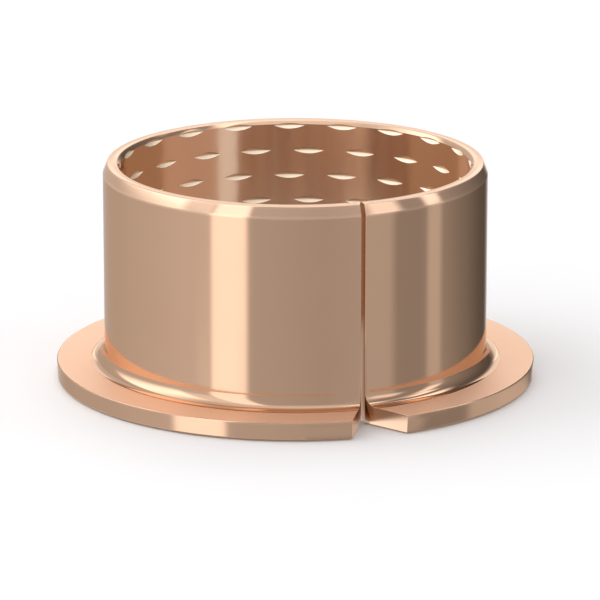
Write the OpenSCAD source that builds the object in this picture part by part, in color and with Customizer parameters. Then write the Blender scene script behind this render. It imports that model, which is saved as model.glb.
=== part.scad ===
// Flanged sliding bushing, rolled from one bronze strip.
// It stands on the flange's thrust face: the origin is the centre of that face
// and +Z runs along the bore to the free end. The front is -Y.

/* [Sleeve] */
// Diameter of the bore
bore_d = 40; // [32:1:46]
// Thickness of the strip that sleeve and flange are formed from
strip_t = 2; // [1.6:0.1:2.5]
// Overall length, from the thrust face to the free end
length = 25; // [16:1:50]

/* [Flange] */
// Diameter of the flange
flange_d = 55; // [51:1:70]
// Radius in the corner between the sleeve and the flange
root_r = 1.5; // [0.8:0.1:2]
// Radius where the bore turns outwards into the thrust face
mouth_r = 2; // [1:0.1:2.4]

/* [Free end] */
// Length of the outer lead-in chamfer, along the sleeve
lead_h = 1.2; // [0.6:0.1:2]
// Depth of the outer lead-in chamfer, across the wall
lead_w = 0.5; // [0.2:0.1:0.8]
// Size of the small chamfer at the edge of the bore
bore_chamfer = 0.4; // [0.2:0.1:0.6]

/* [Seam] */
// Gap between the two butting ends of the strip
seam_gap = 0.5; // [0.2:0.1:1]
// Place of the seam in degrees, from the front towards the right
seam_angle = 20; // [0:1:45]
// Width of the V notch where it opens at the flange's rim
notch_w = 6.6; // [3:0.2:9]
// Depth of the notch's point inside the sleeve's outer face
notch_bite = 0.1; // [0.1:0.1:0.8]

/* [Oil pockets] */
// Pockets in one full turn of the bore
pockets_round = 20; // [12:1:24]
// Length of a pocket from tip to tip, round the bore
pocket_l = 3.6; // [2:0.1:4.2]
// Height of a pocket at its middle, along the bore
pocket_h = 0.8; // [0.5:0.05:1.2]
// Depth of a pocket's V section at its middle
pocket_depth = 0.28; // [0.16:0.02:0.6]
// Distance from one row of pockets to the next
row_pitch = 3; // [2:0.1:5]
// Distance from the free end to the middle of the first row
first_row = 0.54; // [0.54:0.02:3]
// Shift of every second row, round the bore
row_shift = 4; // [3:0.1:5]
// Least plain land between a pocket and the seam or the bore's round mouth
pocket_land = 0.4; // [0.2:0.1:2]

/* [Hidden] */
$fn = 144;
over = 1;                                // how far cutters stand past a face
bore_r = bore_d / 2;
sleeve_r = bore_r + strip_t;
flange_r = flange_d / 2;
root_top = strip_t + root_r;             // height at which the sleeve runs straight

// A V-edged wheel, sunk into the wall, leaves a pocket: a lens in outline and
// a V in section. The bore falls away by bore_sag over half a pocket's length.
bore_sag = bore_r - sqrt(pow(bore_r, 2) - pow(pocket_l / 2, 2));
wheel_sag = pocket_depth + bore_sag;
wheel_r = (pow(pocket_l / 2, 2) + pow(wheel_sag, 2)) / (2 * wheel_sag);
wheel_rim = 2 * pocket_depth;            // depth of the wheel's V edge
wheel_sweep = 100;                       // degrees of the wheel that do the cutting

turn_mm = 2 * PI * bore_r;
pocket_step = 360 / pockets_round;
shift_angle = 360 * row_shift / turn_mm;
seam_clear = 360 * (pocket_l / 2 + seam_gap / 2 + pocket_land) / turn_mm;
lowest_row = mouth_r + pocket_land + pocket_h / 2;
rows = 1 + floor((length - first_row - lowest_row) / row_pitch);

// Half section of sleeve and flange, with every corner as it is turned or formed
module strip_section() {
    difference() {
        union() {
            translate([bore_r, 0]) square([strip_t, length]);
            translate([bore_r, 0]) square([flange_r - bore_r, strip_t]);
            translate([sleeve_r, strip_t]) square(root_r);
        }
        translate([sleeve_r + root_r, root_top]) circle(root_r);
        difference() {
            translate([bore_r - over, -over]) square(mouth_r + over);
            translate([bore_r + mouth_r, mouth_r]) circle(mouth_r);
        }
        translate([sleeve_r, length]) polygon([[0, -lead_h], [over, -lead_h], [over, over],
            [-lead_w, over], [-lead_w, 0]]);
        translate([bore_r, length]) polygon([[0, -bore_chamfer], [-over, -bore_chamfer],
            [-over, over], [bore_chamfer, over], [bore_chamfer, 0]]);
    }
}

// The open joint, from the free end right through the flange
module seam_slot() {
    translate([-seam_gap / 2, -flange_r - over, -over])
        cube([seam_gap, flange_r + over, length + 2 * over]);
}

// The flange's two ends part as they are bent out, which leaves a V
module flange_notch() {
    point = sleeve_r - notch_bite;
    rim = sqrt(pow(flange_r, 2) - pow(notch_w / 2, 2));
    spread = (notch_w - seam_gap) / 2 / (rim - point);
    reach = flange_r + over;
    reach_w = seam_gap / 2 + spread * (reach - point);
    translate([0, 0, -over])
        linear_extrude(root_top + over)
            polygon([[-seam_gap / 2, -point], [-reach_w, -reach], [reach_w, -reach],
                [seam_gap / 2, -point]]);
}

// One pocket's cutter, at the front of the bore and at height 0
module pocket_wheel() {
    slope = pocket_h / 2 / pocket_depth;
    translate([0, -(bore_r + pocket_depth - wheel_r), 0])
        rotate([0, 0, -90 - wheel_sweep / 2])
            rotate_extrude(angle = wheel_sweep)
                polygon([[wheel_r - wheel_rim, -wheel_rim * slope], [wheel_r, 0],
                    [wheel_r - wheel_rim, wheel_rim * slope]]);
}

// Rows of pockets, counted from the seam, with a plain land on both sides of it
module pocket_field() {
    for (row = [0 : rows - 1]) {
        start = row % 2 == 0 ? 0 : shift_angle;
        for (i = [0 : pockets_round - 1]) {
            angle = start + i * pocket_step;
            if (angle >= seam_clear && angle <= 360 - seam_clear)
                rotate([0, 0, angle])
                    translate([0, 0, length - first_row - row * row_pitch])
                        pocket_wheel();
        }
    }
}

module bushing() {
    color([0.79, 0.62, 0.47])
        difference() {
            rotate_extrude() strip_section();
            rotate([0, 0, seam_angle]) {
                seam_slot();
                flange_notch();
                pocket_field();
            }
        }
}

bushing();
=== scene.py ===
import math

import bmesh
import bpy
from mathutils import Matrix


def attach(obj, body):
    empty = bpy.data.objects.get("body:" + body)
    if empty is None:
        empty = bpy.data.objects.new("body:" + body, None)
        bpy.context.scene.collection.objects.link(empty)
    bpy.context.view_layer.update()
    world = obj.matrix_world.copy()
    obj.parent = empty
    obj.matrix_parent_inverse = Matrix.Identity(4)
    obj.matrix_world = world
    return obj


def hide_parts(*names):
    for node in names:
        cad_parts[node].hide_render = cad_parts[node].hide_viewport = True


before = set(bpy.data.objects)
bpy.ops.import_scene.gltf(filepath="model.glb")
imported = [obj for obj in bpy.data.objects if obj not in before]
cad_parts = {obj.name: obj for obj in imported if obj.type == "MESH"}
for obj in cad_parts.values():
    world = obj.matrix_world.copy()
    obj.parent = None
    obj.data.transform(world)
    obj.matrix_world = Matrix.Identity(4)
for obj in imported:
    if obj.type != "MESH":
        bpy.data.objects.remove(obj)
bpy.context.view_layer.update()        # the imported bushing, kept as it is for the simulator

mm = 0.001

# Sizes of the bushing in mm, and degrees from the front towards the right
bushing = {
    "boreRadius": 20.0,
    "sleeveRadius": 22.0,
    "flangeRadius": 27.5,
    "length": 25.0,
    "strip": 2.0,
    "rootRound": 1.5,        # corner between the sleeve and the flange
    "mouthRound": 2.0,       # where the bore turns out into the thrust face
    "leadHigh": 1.2,         # outer lead-in chamfer at the free end
    "leadWide": 0.5,
    "boreChamfer": 0.4,
    "faceLimit": 23.55,      # the turned root ends here on the flange's face
    "faceStep": 0.03,        # and lies this much lower than it
    "stepWide": 0.05,        # the slope between the two
    "stepFoot": 0.004,       # height of the slope's foot above the root's end
    "rimEase": 0.12,         # how far the corners are eased along each side
    "leadEase": 0.10,
    "crownEase": 0.07,
    "boreEase": 0.06,
    "seamAngle": 20.0,
    "seamGap": 0.5,
    "notchWide": 6.6,        # the V in the flange, at the rim
    "deburr": 0.015,         # broken edges of the seam and the notch
    "rimDraft": 0.09,        # the blanked rim leans in by this much at the thrust face
    "columns": 480,          # steps in one turn of the mesh
    "slantAway": 18,         # degrees from the seam at which the columns stand upright again
    "rootSteps": 16,
    "rootCut": 5,            # points of the root that belong to the bright ring on the flange's face
    "mouthSteps": 14,
    "thrustRings": (0.0, 1.8, 3.6),      # rings of the mesh on the thrust face, out from the sleeve
    "faceRing": 2.2,                     # one on the flange's face, out from its limit
    "sleeveRings": (6.0, 10.0, 14.0, 18.0, 22.0),
    "sharpFrom": 30,         # degrees between two faces from which their edge stays sharp
    "tiny": 1e-6,            # lengths that differ by less than this count as the same
}

# The oil pockets, pressed in with a V-edged wheel
pockets = {
    "inTurn": 20,
    "long": 3.6,
    "high": 0.8,
    "deep": 0.28,
    "pitch": 3.0,
    "firstRow": 0.54,        # from the free end
    "rowShift": 4.0,         # every second row, round the bore
    "land": 0.4,
    "halfColumns": 7,        # mesh steps from a pocket's middle to its tip
    "edgeColumns": 4,        # and to where its lip crosses the bore's chamfer
    "lipRounds": 30,         # rounds in which a lip finds its height on the chamfer
}

# The finishes, in the order in which the mesh numbers them
turned, faced, sheared, pressed, bored, ended = range(6)


def arcPoints(centre, radius, start, end, steps):
    points = []
    for i in range(steps + 1):
        angle = math.radians(start + (end - start) * i / steps)
        points.append((centre[0] + radius * math.cos(angle), centre[1] + radius * math.sin(angle)))
    return points


# A corner of the section, rounded off by cut mm along each side
def easedCorner(before, corner, after, cut, steps=3):
    def toward(other):
        dx, dz = other[0] - corner[0], other[1] - corner[1]
        far = math.hypot(dx, dz)
        return corner[0] + dx / far * cut, corner[1] + dz / far * cut
    first, last = toward(before), toward(after)
    points = []
    for i in range(steps + 1):
        t = i / steps
        points.append(tuple((1 - t) ** 2 * a + 2 * t * (1 - t) * c + t * t * b
                            for a, c, b in zip(first, corner, last)))
    return points


# The V opens in a straight line from the sleeve's outside to the rim
def cutAngle(radius):
    s = bushing
    half = s["seamGap"] / 2
    if radius <= s["sleeveRadius"] + s["tiny"]:
        return math.degrees(math.asin(half / radius))
    rim = math.sqrt(s["flangeRadius"] ** 2 - (s["notchWide"] / 2) ** 2)
    k = (s["notchWide"] / 2 - half) / (rim - s["sleeveRadius"])
    c = half - k * s["sleeveRadius"]
    out = (-k * c + math.sqrt(k * k * c * c - (1 + k * k) * (c * c - radius * radius))) / (1 + k * k)
    return math.degrees(math.atan2(c + k * out, out))


# Angles of one ring's columns, from pairs of column and angle
def spreadColumns(knots):
    angles = []
    for (col0, angle0), (col1, angle1) in zip(knots, knots[1:]):
        for col in range(col0, col1):
            angles.append(angle0 + (angle1 - angle0) * (col - col0) / (col1 - col0))
    return angles + [knots[-1][1]]


# Columns of a ring without pockets: they follow the cut's slant beside it and stand upright farther away
def plainColumns(radius):
    n = bushing["columns"]
    angle = bushing["slantAway"]
    away = n * angle // 360
    start = cutAngle(radius) + math.degrees(bushing["deburr"] / radius)
    return spreadColumns([(0, start), (away, angle), (n - away, 360 - angle), (n, 360.0 - start)])


# Half section, from the thrust face round the rim and up to the free end. Each point has its radius, its
# height and the finish of the face that follows.
def sectionOutside():
    s = bushing
    rim, top = s["flangeRadius"], s["length"]
    bore, sleeve, strip = s["boreRadius"], s["sleeveRadius"], s["strip"]
    low = strip - s["faceStep"]
    limit = s["faceLimit"]
    lead = (sleeve, top - s["leadHigh"])
    crown = (sleeve - s["leadWide"], top)
    inner = (bore + s["boreChamfer"], top)
    edge = (bore, top - s["boreChamfer"])
    foot = (rim - s["rimDraft"], 0.0)
    shoulder = (rim, strip)
    middle = (sleeve + s["rootRound"], low + s["rootRound"])
    root = arcPoints(middle, s["rootRound"], 270, 180, s["rootSteps"])
    path = [(sleeve + out, 0.0, faced) for out in s["thrustRings"]]
    path += [(r, z, faced) for r, z in easedCorner((sleeve, 0), foot, shoulder, s["rimEase"], 4)]
    path[-1] = path[-1][:2] + (turned,)
    path += [(r, z, turned) for r, z in easedCorner(foot, shoulder, (sleeve, strip), s["rimEase"], 4)]
    path[-1] = path[-1][:2] + (faced,)
    path += [(limit + s["faceRing"], strip, faced), (limit + s["stepWide"], strip, turned)]
    path.append((limit, low + s["stepFoot"], ended))
    path += [(r, z, ended if i < s["rootCut"] else turned) for i, (r, z) in enumerate(root)]
    path += [(sleeve, z, turned) for z in s["sleeveRings"]]
    path += [(r, z, ended) for r, z in easedCorner((sleeve, 0), lead, crown, s["leadEase"])]
    path += [(r, z, ended) for r, z in easedCorner(lead, crown, inner, s["crownEase"], 4)]
    path += [(r, z, ended) for r, z in easedCorner(crown, inner, edge, s["boreEase"])]
    return path


def sectionMouth():
    s = bushing
    middle = (s["boreRadius"] + s["mouthRound"], s["mouthRound"])
    return arcPoints(middle, s["mouthRound"], 180, 270, s["mouthSteps"])


# The wheel's own numbers, from the size of the pocket that it leaves
def wheelOf():
    bore = bushing["boreRadius"]
    half = pockets["long"] / 2
    sag = pockets["deep"] + bore - math.sqrt(bore ** 2 - half ** 2)
    radius = (half ** 2 + sag ** 2) / (2 * sag)
    return radius, bore + pockets["deep"] - radius, pockets["high"] / 2 / pockets["deep"]


def buildBushing():
    s = bushing
    n = s["columns"]
    bore, top = s["boreRadius"], s["length"]
    wheel, wheelOut, slope = wheelOf()
    turn = 2 * math.pi * bore
    step = 360 / pockets["inTurn"]
    shift = 360 * pockets["rowShift"] / turn
    clear = 360 * (pockets["long"] / 2 + s["seamGap"] / 2 + pockets["land"]) / turn
    tip = math.degrees(math.asin(pockets["long"] / 2 / bore))
    verts, faces, finishes = [], [], []

    def addVert(radius, angle, height):
        turnBy = math.radians(angle + s["seamAngle"])
        verts.append((radius * math.sin(turnBy) * mm, -radius * math.cos(turnBy) * mm, height * mm))
        return len(verts) - 1

    def addRing(angles, radius, height):
        return [addVert(radius, a, height) for a in angles]

    def addFace(corners, finish):
        kept = [c for i, c in enumerate(corners) if c != corners[i - 1]]
        if len(kept) > 2:
            faces.append(kept)
            finishes.append(finish)

    def joinRings(first, second, finish, marks=None):
        for j in range(n):
            kind = finish if marks is None or not (marks[j] and marks[j + 1]) else pressed
            addFace([first[j], first[j + 1], second[j + 1], second[j]], kind)

    # Half the height that the wheel cuts, at an angle from a pocket's middle and at a radius
    def wheelReach(angle, radius):
        lean = math.cos(math.radians(angle))
        away = math.sqrt(radius ** 2 + wheelOut ** 2 - 2 * radius * wheelOut * lean)
        return (wheel - away) * slope

    # Within this angle of a pocket's middle, a lip of the first row climbs the bore's chamfer
    edgeDrop = top - s["boreChamfer"] - (top - pockets["firstRow"])
    edgeAway = wheel - edgeDrop / slope
    edgeAngle = math.degrees(math.acos((bore ** 2 + wheelOut ** 2 - edgeAway ** 2) / (2 * bore * wheelOut)))

    # Five rings for a row: lip, half way, bottom of the V, half way, lip. They are one between pockets.
    def pocketRow(row):
        height = top - pockets["firstRow"] - row * pockets["pitch"]
        start = 0.0 if row % 2 == 0 else shift
        cut = cutAngle(bore) + math.degrees(s["deburr"] / bore)
        middles = [start + i * step for i in range(pockets["inTurn"])]
        middles = [m for m in middles if clear <= m <= 360 - clear]
        knots, owner = [(0, cut)], {}
        half, edge = pockets["halfColumns"], pockets["edgeColumns"]
        for m in middles:
            col = round(m * n / 360)
            knots += [(col - half, m - tip), (col - edge, m - edgeAngle)]
            knots += [(col, m), (col + edge, m + edgeAngle), (col + half, m + tip)]
            owner.update({c: m for c in range(col - half + 1, col + half)})
        knots.append((n, 360 - cut))
        angles = spreadColumns(knots)
        rings = [[] for _ in range(5)]
        for j, angle in enumerate(angles):
            if j not in owner:
                flat = addVert(bore, angle, height)
                for ring in rings:
                    ring.append(flat)
                continue
            off = angle - owner[j]
            bottom = wheelOut * math.cos(math.radians(off))
            bottom += math.sqrt(wheel ** 2 - (wheelOut * math.sin(math.radians(off))) ** 2)
            lipHigh = bore
            rise = wheelReach(off, bore)
            if row == 0 and rise > edgeDrop:
                for _ in range(pockets["lipRounds"]):
                    lipHigh = bore + rise - edgeDrop
                    rise = 0.5 * (rise + wheelReach(off, lipHigh))
            radii = (lipHigh, (lipHigh + bottom) / 2, bottom, (bore + bottom) / 2, bore)
            for ring, radius, side in zip(rings, radii, (1, 1, 0, -1, -1)):
                ring.append(addVert(radius, angle, height + side * wheelReach(off, radius)))
        inside = [j in owner or j - 1 in owner or j + 1 in owner for j in range(n + 1)]
        return angles, rings, inside, owner

    rings, ringSection = [], []
    for radius, height, finish in sectionOutside():
        ring = addRing(plainColumns(radius), radius, height)
        if rings:
            joinRings(rings[-1], ring, ringFinish)
        rings.append(ring)
        ringFinish = finish
        ringSection.append((radius, height))

    # Down the bore, row by row
    lowest = s["mouthRound"] + pockets["land"] + pockets["high"] / 2
    rows = 1 + math.floor((top - pockets["firstRow"] - lowest) / pockets["pitch"])
    above = rings[-1]
    for row in range(rows):
        angles, five, inside, owner = pocketRow(row)
        if row == 0:
            edgeHeight = top - s["boreChamfer"]
            edgeRing = []
            for j, angle in enumerate(angles):
                onEdge = j in owner and abs(angle - owner[j]) <= edgeAngle + s["tiny"]
                edgeRing.append(five[0][j] if onEdge else addVert(bore, angle, edgeHeight))
            joinRings(above, edgeRing, ended)
            ringSection.append((bore, edgeHeight))
            rings.append(edgeRing)
            above = edgeRing
        joinRings(above, five[0], bored)
        # The lower flank's finish is coloured near white, as a painted highlight.
        for i in range(4):       # the upper flank is as smooth as the bore, the lower one is rough
            joinRings(five[i], five[i + 1], bored, inside if i > 1 else None)
        height = top - pockets["firstRow"] - row * pockets["pitch"]
        ringSection.append((bore, height))
        rings.append(five[-1])
        above = five[-1]
        if row < rows - 1:
            between = height - pockets["pitch"] / 2
            ring = addRing(plainColumns(bore), bore, between)
            joinRings(above, ring, bored)
            ringSection.append((bore, between))
            rings.append(ring)
            above = ring
    for i, (radius, height) in enumerate(sectionMouth()[:-1]):
        ring = addRing(plainColumns(radius), radius, height)
        joinRings(above, ring, bored if i == 0 else turned)
        rings.append(ring)
        ringSection.append((radius, height))
        above = ring
    joinRings(above, rings[0], turned)

    # The strip's two cut ends, with their edges broken: the seam's wall and, outside the sleeve, the cheek
    # of the V. The one passes into the other at foot and knee, below and at the root's top.
    count = len(ringSection)
    inset = []
    for i, (radius, height) in enumerate(ringSection):
        r0, z0 = ringSection[i - 1]
        r1, z1 = ringSection[(i + 1) % count]
        a = math.hypot(radius - r0, height - z0)
        b = math.hypot(r1 - radius, z1 - height)
        n0 = (-(height - z0) / a, (radius - r0) / a)
        n1 = (-(z1 - height) / b, (r1 - radius) / b)
        nx, nz = n0[0] + n1[0], n0[1] + n1[1]
        size = (nx * nx + nz * nz) / 2
        inset.append((radius + nx / size * s["deburr"], height + nz / size * s["deburr"]))
    foot = 0
    knee = min(i for i, (r, z) in enumerate(ringSection)
               if abs(r - s["sleeveRadius"]) < s["tiny"] and z > s["strip"])
    inset[foot] = (s["sleeveRadius"], inset[foot][1])
    inset[knee] = (s["sleeveRadius"], inset[knee][1])
    for col, side in ((0, 1), (n, -1)):
        loop = []
        for radius, height in inset:
            angle = cutAngle(radius)
            loop.append(addVert(radius, angle if side > 0 else 360 - angle, height))
        for i in range(count):
            k = (i + 1) % count
            corners = [rings[i][col], rings[k][col], loop[k], loop[i]]
            addFace(corners if side > 0 else corners[::-1], sheared)
        wall = [loop[foot]] + loop[knee:]
        cheek = loop[foot:knee + 1]
        for cap in (wall, cheek):
            addFace(cap if side > 0 else cap[::-1], sheared)

    mesh = bpy.data.meshes.new("flangedBushing")
    mesh.from_pydata(verts, [], faces)
    mesh.polygons.foreach_set("material_index", finishes)
    mesh.validate()
    bm = bmesh.new()
    bm.from_mesh(mesh)
    bmesh.ops.recalc_face_normals(bm, faces=bm.faces)
    loose = [v for v in bm.verts if not v.link_faces]
    bmesh.ops.delete(bm, geom=loose, context="VERTS")
    print("bushing's mesh:", len(bm.faces), "faces,", round(bm.calc_volume() * 1e9), "mm3")
    for face in bm.faces:
        face.smooth = True
    for e in bm.edges:
        e.smooth = len(e.link_faces) == 2 and e.calc_face_angle() < math.radians(s["sharpFrom"])
    bm.to_mesh(mesh)
    bm.free()
    piece = bpy.data.objects.new("bushingShell", mesh)
    bpy.context.scene.collection.objects.link(piece)
    weighted = piece.modifiers.new("flat faces stay flat", "WEIGHTED_NORMAL")
    weighted.keep_sharp = True
    return piece


shell = buildBushing()
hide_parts("bushing")
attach(shell, "root")
print("bushing meshed")


# Look of the bronze: the same strip in six finishes, in the order of the mesh. The flange's face, the
# pockets, the bored wall and the free end are written lighter than the sleeve: painted light.
bronze = {
    "warm": (0.91, 0.78, 0.71),            # the redder clouds, against the finish's own colour
    "toneAmount": 0.10,
    "cloudScales": (130.0, 1500.0),        # wide and fine clouds; all scales are waves to a metre
    "fineShare": 0.35,
    "cloudSpan": (0.45, 0.9),              # from no cloud to the whole of it
    "patchScale": 260.0,                   # turning marks are deeper in some places than in others
    "scratchLays": ((0.5, 0.0, 0.3), (-0.7, 0.4, 1.4)),    # how the two directions are turned
    "scratchScales": (70.0, 3200.0, 260.0),
    "scratchSpan": (0.72, 0.80),
    "smudgeScale": 90.0,
    "rubbed": 1.2,                         # how much lighter a rubbed corner is
    "rubbedShare": 0.5,
    "rubbedRough": 0.06,
    "cornerWide": 0.00035,                 # metres
    "raggedScale": 900.0,
    "bumpHigh": 0.00005,                   # metres
    # Marks are rings to a mm, uneven is how far the roughness goes up and down, and stretch draws a
    # reflection out along the bore.
    "finishes": {
        "turnedSleeve": {"color": (0.66, 0.43, 0.295), "grazing": (0.88, 0.77, 0.68), "roughness": 0.10,
                         "uneven": 0.03, "marks": 9.0, "depth": 0.02, "scratches": 0.02, "stretch": 0.0},
        # The flange's face is the sleeve's bronze written lighter: painted light, with its own satin
        # roughness.
        "facedFlangePaintedLight": {"color": (0.97, 0.68, 0.505), "grazing": (1.0, 0.96, 0.92), "roughness": 0.62,
                        "uneven": 0.05, "marks": 16.0, "depth": 0.10, "scratches": 0.04, "stretch": 0.0},
        "shearedEdge": {"color": (0.66, 0.46, 0.34), "grazing": (0.85, 0.74, 0.66), "roughness": 0.20,
                        "uneven": 0.05, "marks": 6.0, "depth": 0.10, "scratches": 0.0, "stretch": 0.0},
        # The pockets' lower flanks are the same bronze written near white: a painted highlight.
        "pressedPocketPaintedHighlight": {"color": (1.0, 0.87, 0.71), "grazing": (1.0, 1.0, 1.0), "roughness": 0.55,
                          "uneven": 0.04, "marks": 5.0, "depth": 0.05, "scratches": 0.0, "stretch": 0.0},
        # The bored wall is the sleeve's bronze written a little lighter: painted light for its inner
        # reflections.
        "boredWallPaintedLight": {"color": (0.70, 0.48, 0.34), "grazing": (0.9, 0.8, 0.7), "roughness": 0.20,
                      "uneven": 0.03, "marks": 9.0, "depth": 0.0, "scratches": 0.0, "stretch": 0.9},
        # The free end is the sleeve's bronze written lighter: painted light.
        "cutEndPaintedLight": {"color": (0.78, 0.52, 0.37), "grazing": (0.95, 0.87, 0.79), "roughness": 0.07,
                   "uneven": 0.02, "marks": 14.0, "depth": 0.03, "scratches": 0.02, "stretch": 0.0},
    },
}


def addNode(tree, kind, spot, **settings):
    made = tree.nodes.new(kind)
    made.location = spot
    for name, value in settings.items():
        setattr(made, name, value)
    return made


def addMath(tree, spot, operation, first, second=None, third=None, clamp=False):
    made = addNode(tree, "ShaderNodeMath", spot, operation=operation, use_clamp=clamp)
    for socket, value in zip(made.inputs, (first, second, third)):
        if value is None:
            continue
        if isinstance(value, (int, float)):
            socket.default_value = value
        else:
            tree.links.new(value, socket)
    return made.outputs[0]


def startGroup(name, inputs, outputs):
    group = bpy.data.node_groups.new(name, "ShaderNodeTree")
    for label, kind, value in inputs:
        socket = group.interface.new_socket(label, in_out="INPUT", socket_type=kind)
        if value is not None:
            socket.default_value = value
    for label, kind in outputs:
        group.interface.new_socket(label, in_out="OUTPUT", socket_type=kind)
    enter = addNode(group, "NodeGroupInput", (-1200, 0))
    leave = addNode(group, "NodeGroupOutput", (700, 0))
    return group, enter.outputs, leave.inputs


def addNoise(tree, spot, vector, scale, detail=2.0, dimensions="3D", w=None):
    made = addNode(tree, "ShaderNodeTexNoise", spot, noise_dimensions=dimensions)
    if vector is not None:
        tree.links.new(vector, made.inputs["Vector"])
    if w is not None:
        tree.links.new(w, made.inputs["W"])
    if isinstance(scale, (int, float)):
        made.inputs["Scale"].default_value = scale
    else:
        tree.links.new(scale, made.inputs["Scale"])
    made.inputs["Detail"].default_value = detail
    return made.outputs["Fac"]


# Soft clouds of a redder tone, some nearly a centimetre wide and some less than a millimetre
def makeStripTone():
    group, given, out = startGroup(
        "stripTone",
        [("Color", "NodeSocketColor", None), ("Warm", "NodeSocketColor", None),
         ("Amount", "NodeSocketFloat", 0.1)],
        [("Color", "NodeSocketColor")])
    spot = addNode(group, "ShaderNodeTexCoord", (-1000, -300)).outputs["Object"]
    wide = addNoise(group, (-800, -200), spot, bronze["cloudScales"][0])
    fine = addNoise(group, (-800, -450), spot, bronze["cloudScales"][1], 3.0)
    both = addMath(group, (-560, -300), "MULTIPLY_ADD", fine, bronze["fineShare"], wide)
    spread = addNode(group, "ShaderNodeMapRange", (-380, -300))
    spread.inputs["From Min"].default_value, spread.inputs["From Max"].default_value = bronze["cloudSpan"]
    group.links.new(both, spread.inputs["Value"])
    amount = addMath(group, (-160, -200), "MULTIPLY", spread.outputs["Result"], given["Amount"])
    mix = addNode(group, "ShaderNodeMix", (80, 0), data_type="RGBA")
    group.links.new(amount, mix.inputs["Factor"])
    group.links.new(given["Color"], mix.inputs["A"])
    group.links.new(given["Warm"], mix.inputs["B"])
    group.links.new(mix.outputs["Result"], out["Color"])
    return group


# Fine rings that a lathe leaves: they run round the bushing, on a wall as on a face
def makeTurningMarks():
    group, given, out = startGroup(
        "turningMarks",
        [("Marks", "NodeSocketFloat", 8.0)],
        [("Height", "NodeSocketFloat")])
    spot = addNode(group, "ShaderNodeTexCoord", (-1000, -200)).outputs["Object"]
    split = addNode(group, "ShaderNodeSeparateXYZ", (-820, -200))
    group.links.new(spot, split.inputs[0])
    x, y, z = split.outputs
    square = addMath(group, (-640, -100), "MULTIPLY", x, x)
    square = addMath(group, (-460, -100), "MULTIPLY_ADD", y, y, square)
    away = addMath(group, (-280, -100), "SQRT", square)
    along = addMath(group, (-100, -100), "ADD", away, z)
    scale = addMath(group, (-280, 150), "MULTIPLY", given["Marks"], 1 / mm)
    rings = addNoise(group, (80, 0), None, scale, 2.0, "1D", along)
    patches = addNoise(group, (80, -250), spot, bronze["patchScale"], 1.0)
    height = addMath(group, (300, 0), "MULTIPLY", rings, patches)
    group.links.new(height, out["Height"])
    return group


# Hair-fine scratches of handling, in two slanting directions round the wall
def makeHandling():
    group, given, out = startGroup(
        "handlingScratches",
        [("Amount", "NodeSocketFloat", 0.05)],
        [("Height", "NodeSocketFloat"), ("Smudge", "NodeSocketFloat")])
    spot = addNode(group, "ShaderNodeTexCoord", (-1100, -200)).outputs["Object"]
    total = None
    for i, turns in enumerate(bronze["scratchLays"]):
        lay = addNode(group, "ShaderNodeMapping", (-900, -250 * i))
        lay.inputs["Rotation"].default_value = turns
        lay.inputs["Scale"].default_value = bronze["scratchScales"]
        group.links.new(spot, lay.inputs["Vector"])
        streak = addNoise(group, (-680, -250 * i), lay.outputs["Vector"], 1.0, 1.0)
        line = addNode(group, "ShaderNodeMapRange", (-460, -250 * i))
        line.inputs["From Min"].default_value, line.inputs["From Max"].default_value = bronze["scratchSpan"]
        group.links.new(streak, line.inputs["Value"])
        found = line.outputs["Result"]
        total = found if total is None else addMath(group, (-240, -100), "ADD", total, found)
    height = addMath(group, (0, 0), "MULTIPLY", total, given["Amount"])
    height = addMath(group, (200, 0), "MULTIPLY", height, -1.0)
    smudge = addNoise(group, (0, -300), spot, bronze["smudgeScale"], 3.0)
    group.links.new(height, out["Height"])
    group.links.new(smudge, out["Smudge"])
    return group


# Rubbed corners: the flange's upper rim and the free end's chamfers, found by their place on the bushing
def makeRubbedCorners():
    group, given, out = startGroup(
        "rubbedCorners",
        [("Width", "NodeSocketFloat", 0.00035)],
        [("Mask", "NodeSocketFloat")])
    spot = addNode(group, "ShaderNodeTexCoord", (-1100, -200)).outputs["Object"]
    split = addNode(group, "ShaderNodeSeparateXYZ", (-920, -200))
    group.links.new(spot, split.inputs[0])
    x, y, z = split.outputs
    square = addMath(group, (-740, -100), "MULTIPLY", x, x)
    square = addMath(group, (-560, -100), "MULTIPLY_ADD", y, y, square)
    away = addMath(group, (-380, -100), "SQRT", square)
    s = bushing
    corners = [
        (s["flangeRadius"], s["strip"]),
        (s["sleeveRadius"], s["length"] - s["leadHigh"]),
        (s["sleeveRadius"] - s["leadWide"], s["length"]),
        (s["boreRadius"] + s["boreChamfer"], s["length"]),
    ]
    nearest = None
    for i, (radius, height) in enumerate(corners):
        dr = addMath(group, (-200, -160 * i), "SUBTRACT", away, radius * mm)
        dz = addMath(group, (-200, -160 * i - 70), "SUBTRACT", z, height * mm)
        both = addMath(group, (-20, -160 * i), "MULTIPLY", dr, dr)
        both = addMath(group, (140, -160 * i), "MULTIPLY_ADD", dz, dz, both)
        nearest = both if nearest is None else addMath(group, (300, -160 * i), "MINIMUM", nearest, both)
    reach = addMath(group, (420, 0), "SQRT", nearest)
    ragged = addNoise(group, (-200, 300), spot, bronze["raggedScale"], 3.0)
    reach = addMath(group, (480, 150), "DIVIDE", reach, given["Width"])
    reach = addMath(group, (520, 250), "ADD", reach, ragged)
    fall = addNode(group, "ShaderNodeMapRange", (560, 0), interpolation_type="SMOOTHSTEP")
    fall.inputs["From Min"].default_value = 0.5
    fall.inputs["From Max"].default_value = 1.5
    fall.inputs["To Min"].default_value = 1.0
    fall.inputs["To Max"].default_value = 0.0
    group.links.new(reach, fall.inputs["Value"])
    group.links.new(fall.outputs["Result"], out["Mask"])
    return group


stripTone = makeStripTone()
turningMarks = makeTurningMarks()
handlingScratches = makeHandling()
rubbedCorners = makeRubbedCorners()


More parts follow.
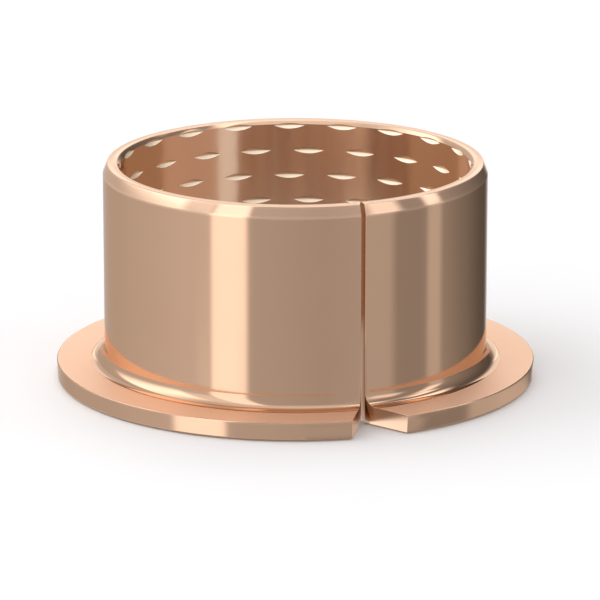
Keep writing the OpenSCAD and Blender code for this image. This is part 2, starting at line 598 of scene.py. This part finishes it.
def addGroup(tree, group, spot, **values):
    made = addNode(tree, "ShaderNodeGroup", spot, node_tree=group)
    for name, value in values.items():
        made.inputs[name].default_value = value
    return made.outputs


def tinted(color, factors):
    return tuple(min(1.0, c * f) for c, f in zip(color, factors)) + (1.0,)


def makeBronze(name, finish):
    material = bpy.data.materials.new(name)
    material.use_nodes = True
    tree = material.node_tree
    tree.nodes.clear()
    target = addNode(tree, "ShaderNodeOutputMaterial", (700, 0))
    shader = addNode(tree, "ShaderNodeBsdfPrincipled", (400, 0))
    tree.links.new(shader.outputs[0], target.inputs["Surface"])
    shader.inputs["Metallic"].default_value = 1.0
    shader.inputs["Specular Tint"].default_value = finish["grazing"] + (1.0,)
    tone = addGroup(tree, stripTone, (-400, 250), Color=tinted(finish["color"], (1, 1, 1)),
                    Warm=tinted(finish["color"], bronze["warm"]), Amount=bronze["toneAmount"])
    marks = addGroup(tree, turningMarks, (-600, -300), Marks=finish["marks"])
    wear = addGroup(tree, handlingScratches, (-600, -500), Amount=finish["scratches"])
    corners = addGroup(tree, rubbedCorners, (-600, 0), Width=bronze["cornerWide"])
    bright = addNode(tree, "ShaderNodeMix", (100, 250), data_type="RGBA")
    bright.inputs["B"].default_value = tinted(finish["color"], 3 * (bronze["rubbed"],))
    share = addMath(tree, (-200, 50), "MULTIPLY", corners["Mask"], bronze["rubbedShare"])
    tree.links.new(share, bright.inputs["Factor"])
    tree.links.new(tone["Color"], bright.inputs["A"])
    tree.links.new(bright.outputs["Result"], shader.inputs["Base Color"])
    rough = addMath(tree, (-200, -150), "MULTIPLY_ADD", wear["Smudge"], 2 * finish["uneven"],
                    finish["roughness"] - finish["uneven"])
    rough = addMath(tree, (0, -150), "MULTIPLY_ADD", corners["Mask"], bronze["rubbedRough"], rough)
    tree.links.new(rough, shader.inputs["Roughness"])
    if finish["stretch"]:        # marks run round the bore, so that a reflection is drawn out along it
        shader.inputs["Anisotropic"].default_value = finish["stretch"]
        shader.inputs["Anisotropic Rotation"].default_value = 0.25
        lay = addNode(tree, "ShaderNodeTangent", (100, -550), direction_type="RADIAL", axis="Z")
        tree.links.new(lay.outputs[0], shader.inputs["Tangent"])
    height = addMath(tree, (-200, -350), "MULTIPLY_ADD", marks["Height"], finish["depth"], wear["Height"])
    bump = addNode(tree, "ShaderNodeBump", (100, -350))
    bump.inputs["Strength"].default_value = 1.0
    bump.inputs["Distance"].default_value = bronze["bumpHigh"]
    tree.links.new(height, bump.inputs["Height"])
    tree.links.new(bump.outputs["Normal"], shader.inputs["Normal"])
    return material


for name, finish in bronze["finishes"].items():
    shell.data.materials.append(makeBronze(name, finish))
print("bronze made in", len(shell.data.materials), "finishes")


# A plain pale floor, wide enough for every view, and small one-sided glowing cards that belong to the
# stage.
# Only the bronze mirrors them. The white one high over the bore is a light for the pockets; the others are
# painted reflections: below the floor under the flange's V, a bright glint and a shaded floor for the two
# cheeks, and in the bore a white strip and bronze-tinted sheets that stand in for what its own walls
# mirror.
# A card spans between two edges, and an edge runs from one place to another: turn in degrees, radius and
# height in mm.
floor = {
    "half": 2.5,
    "drop": 0.0002,          # leaves the thin dark line of a part that stands on a hard floor
    "color": (0.975, 0.97, 0.98, 1.0),
    "cardSteps": 16,
    "cards": {
        # Painted reflections in the cheeks of the V: a bright glint and a shaded floor.
        "rightCheekPaintedGlint": {
            "color": (1.8, 1.75, 1.7),
            "edges": (((19.4, 21.9, -2.4), (13.1, 27.5, -2.4)), ((19.4, 21.9, -0.1), (13.1, 27.5, -0.1))),
        },
        "leftCheekPaintedReflection": {
            "color": (0.84, 0.73, 0.64),
            "edges": (((26.9, 27.5, -2.4), (20.6, 21.9, -2.4)), ((26.9, 27.5, -0.1), (20.6, 21.9, -0.1))),
        },
        # Painted reflections in the bore: a white strip, and bronze-tinted sheets for the light its own
        # walls mirror.
        "boreStripPaintedReflection": {
            "color": (1.0, 0.98, 0.96),
            "edges": (((59, 19.7, 1.0), (80, 19.7, 1.0)), ((59, 19.7, 24.4), (80, 19.7, 24.4))),
        },
        "boreRightPaintedReflection": {
            "color": (0.66, 0.46, 0.36),
            "edges": (((80, 19.7, 1.0), (150, 19.7, 1.0)), ((80, 19.7, 24.4), (150, 19.7, 24.4))),
        },
        "boreBackPaintedReflection": {
            "color": (0.46, 0.29, 0.19),
            "edges": (((150, 19.7, 1.0), (235, 19.7, 1.0)), ((150, 19.7, 24.4), (235, 19.7, 24.4))),
        },
        "pocketGlow": {
            "color": (1.6, 1.6, 1.6),
            "edges": (((360, 0.5, 45.0), (0, 0.5, 45.0)), ((360, 14.0, 45.0), (0, 14.0, 45.0))),
        },
    },
}


def addSheet(name, points, faces, color):
    mesh = bpy.data.meshes.new(name)
    mesh.from_pydata(points, [], faces)
    sheet = bpy.data.objects.new(name, mesh)
    bpy.context.scene.collection.objects.link(sheet)
    material = bpy.data.materials.new(name)
    material.use_nodes = True
    shader = material.node_tree.nodes["Principled BSDF"]
    shader.inputs["Base Color"].default_value = color
    shader.inputs["Roughness"].default_value = 1.0
    shader.inputs["Specular IOR Level"].default_value = 0.0
    mesh.materials.append(material)
    return sheet, material.node_tree, shader


def buildFloor():
    h = floor["half"]
    corners = [(x, y, -floor["drop"]) for x, y in ((-h, -h), (h, -h), (h, h), (-h, h))]
    sheet = addSheet("paleFloor", corners, [(0, 1, 2, 3)], floor["color"])[0]
    sheet.visible_glossy = False     # the bronze mirrors the studio's panels, which reach below the floor


# A card that glows on one side only
def addCard(name, card):
    steps = floor["cardSteps"]
    points = []
    for first, last in card["edges"]:
        for i in range(steps + 1):
            turn, out, up = (a + (b - a) * i / steps for a, b in zip(first, last))
            turn = math.radians(turn)
            points.append((out * math.sin(turn) * mm, -out * math.cos(turn) * mm, up * mm))
    faces = [(steps + 1 + i, steps + 2 + i, i + 1, i) for i in range(steps)]
    sheet, tree, shader = addSheet(name, points, faces, (0.0, 0.0, 0.0, 1.0))
    shader.inputs["Emission Color"].default_value = card["color"] + (1.0,)
    shader.inputs["Emission Strength"].default_value = 1.0
    sides = addNode(tree, "ShaderNodeNewGeometry", (-600, 0))
    front = addMath(tree, (-300, 0), "SUBTRACT", 1.0, sides.outputs["Backfacing"])
    tree.links.new(front, shader.inputs["Alpha"])
    sheet.visible_camera = False
    sheet.visible_diffuse = False
    sheet.visible_shadow = False


for name, card in floor["cards"].items():
    addCard(name, card)
buildFloor()
print("floor laid,", len(floor["cards"]), "cards set up")


# The studio, in degrees: turn is from the front towards the right, rise is above the horizon. The walls are
# pairs of turn and level, and the apron is the same near the floor, where only the flange's rim mirrors it.
# Soft panels stand before them: turns and the half width of the soft sides, rises and the half width of the
# soft top and bottom, and the level.
studio = {
    "walls": [
        (-180, 0.66), (-130, 0.70), (-90, 0.77), (-70, 0.83), (-52, 0.82), (-50, 1.72), (-30, 1.72),
        (-27.5, 0.63), (-12, 0.61), (18, 0.56), (40, 0.60), (43, 0.65), (58, 0.64), (63, 0.40), (80, 0.40),
        (84, 0.42), (87, 0.74), (95, 0.74), (99, 0.42), (118, 0.30), (145, 0.16), (158, 0.13),
        (164, 0.40), (171, 0.80), (180, 0.85),
    ],
    "apron": [
        (-180, 0.56), (-160, 0.61), (-134, 0.68), (-98, 0.69), (-86, 0.74), (-62.5, 0.76), (-59.5, 1.72),
        (-35.5, 1.72), (-32.5, 0.67), (-12, 0.65), (12, 0.60), (62, 0.59), (68, 0.37), (90, 0.38),
        (96, 0.70), (110, 0.74), (123, 0.82), (147, 0.80), (180, 0.74),
    ],
    "apronTop": (-17.8, -16.8),
    "panels": {
        "sideGlow": ((-73, -52), 3, (20, 66), 8, 1.18),
        "leftBox": ((-132, -72), 4, (18, 53), 14, 2.25),
        "rightLamp": ((47, 67), 4, (17, 38), 6, 1.3),
        "rightStrip": ((86, 97), 3, (14, 40), 5, 1.6),
        "rightBox": ((96, 110), 4, (38, 53), 4, 2.0),
        "crown": ((-200, 200), 5, (67, 120), 8, 1.0),
        "rightTop": ((80, 102), 4, (62, 76), 3, 1.75),
        "backLow": ((167, 191), 4, (-11, 40), 2, 1.05),
        "backStrip": ((165, 194), 4, (13.8, 15.2), 0.2, 1.75),
        "backTop": ((130, 198), 8, (42, 86), 4, 2.1),
        "under": ((-200, 200), 5, (-120, -32), 6, 0.15),
    },
    "most": 4.0,             # a colour ramp holds levels up to 1, so they are kept as parts of this
}


# Level of a wall, from its pairs of turn and level
def wallRamp(tree, spot, turnTo, wall):
    ramp = addNode(tree, "ShaderNodeValToRGB", spot)
    stops = ramp.color_ramp.elements
    while len(stops) < len(wall):
        stops.new(0.5)
    for stop, (degrees, level) in zip(stops, wall):
        stop.position = (degrees + 180) / 360
        stop.color = 3 * (level / studio["most"],) + (1.0,)
    factor = addMath(tree, (spot[0] - 200, spot[1]), "MULTIPLY_ADD", turnTo, 1 / 360, 0.5)
    tree.links.new(factor, ramp.inputs["Fac"])
    return addMath(tree, (spot[0] + 300, spot[1]), "MULTIPLY", ramp.outputs["Color"], studio["most"])


def mixLevels(tree, spot, factor, first, second):
    mix = addNode(tree, "ShaderNodeMix", spot, data_type="FLOAT")
    for name, value in (("Factor", factor), ("A", first), ("B", second)):
        if isinstance(value, (int, float)):
            mix.inputs[name].default_value = value
        else:
            tree.links.new(value, mix.inputs[name])
    return mix.outputs["Result"]


# 1 between two angles, falling softly to 0 at both ends
def softWindow(tree, spot, angle, ends, edge):
    middle, half = (ends[0] + ends[1]) / 2, (ends[1] - ends[0]) / 2
    off = addMath(tree, spot, "SUBTRACT", angle, middle)
    off = addMath(tree, (spot[0] + 180, spot[1]), "WRAP", off, 180.0, -180.0)
    off = addMath(tree, (spot[0] + 360, spot[1]), "ABSOLUTE", off)
    fall = addNode(tree, "ShaderNodeMapRange", (spot[0] + 540, spot[1]), interpolation_type="SMOOTHSTEP")
    fall.inputs["From Min"].default_value = half - edge
    fall.inputs["From Max"].default_value = half + edge
    fall.inputs["To Min"].default_value = 1.0
    fall.inputs["To Max"].default_value = 0.0
    tree.links.new(off, fall.inputs["Value"])
    return fall.outputs["Result"]


def lightStudio():
    world = bpy.data.worlds.new("softStudio")
    bpy.context.scene.world = world
    world.use_nodes = True
    tree = world.node_tree
    tree.nodes.clear()
    way = addNode(tree, "ShaderNodeTexCoord", (-2400, 0)).outputs["Generated"]
    split = addNode(tree, "ShaderNodeSeparateXYZ", (-2200, 0))
    tree.links.new(way, split.inputs[0])
    x, y, z = split.outputs
    front = addMath(tree, (-2000, 100), "MULTIPLY", y, -1.0)
    turnTo = addMath(tree, (-1600, 100), "DEGREES", addMath(tree, (-1800, 100), "ARCTAN2", x, front))
    rise = addMath(tree, (-1600, -150), "DEGREES", addMath(tree, (-1800, -150), "ARCSINE", z))
    walls = wallRamp(tree, (-1000, 300), turnTo, studio["walls"])
    apron = wallRamp(tree, (-1000, 600), turnTo, studio["apron"])
    above = addNode(tree, "ShaderNodeMapRange", (-1000, 900), interpolation_type="SMOOTHSTEP")
    above.inputs["From Min"].default_value, above.inputs["From Max"].default_value = studio["apronTop"]
    tree.links.new(rise, above.inputs["Value"])
    level = mixLevels(tree, (-400, 500), above.outputs["Result"], apron, walls)
    for i, (turn, turnEdge, high, highEdge, strength) in enumerate(studio["panels"].values()):
        across = softWindow(tree, (-1300, -400 * i), turnTo, turn, turnEdge)
        up = softWindow(tree, (-1300, -400 * i - 200), rise, high, highEdge)
        both = addMath(tree, (-500, -400 * i), "MULTIPLY", across, up)
        level = mixLevels(tree, (200 * i, 200), both, level, strength)
    lit = addNode(tree, "ShaderNodeBackground", (2400, 200))
    lit.inputs["Color"].default_value = (1.0, 1.0, 1.0, 1.0)
    tree.links.new(level, lit.inputs["Strength"])
    target = addNode(tree, "ShaderNodeOutputWorld", (2600, 200))
    tree.links.new(lit.outputs[0], target.inputs["Surface"])


lightStudio()
print("studio lit")


# The camera stands in front, a little above, with a long lens
camera = {"lens": 282.3, "sensor": 36.0, "away": 541.725, "aim": 8.504, "downward": 15.365, "shift": 0.0077}


def placeCamera():
    data = bpy.data.cameras.new("camera")
    data.lens = camera["lens"]
    data.sensor_width = camera["sensor"]
    data.shift_x = camera["shift"]
    holder = bpy.data.objects.new("camera", data)
    bpy.context.scene.collection.objects.link(holder)
    tilt = math.radians(camera["downward"])
    away = camera["away"] * mm
    holder.location = (0.0, -away * math.cos(tilt), camera["aim"] * mm + away * math.sin(tilt))
    holder.rotation_euler = (math.pi / 2 - tilt, 0.0, 0.0)
    bpy.context.scene.camera = holder


placeCamera()
bpy.context.scene.view_settings.view_transform = "Standard"
print("camera placed")
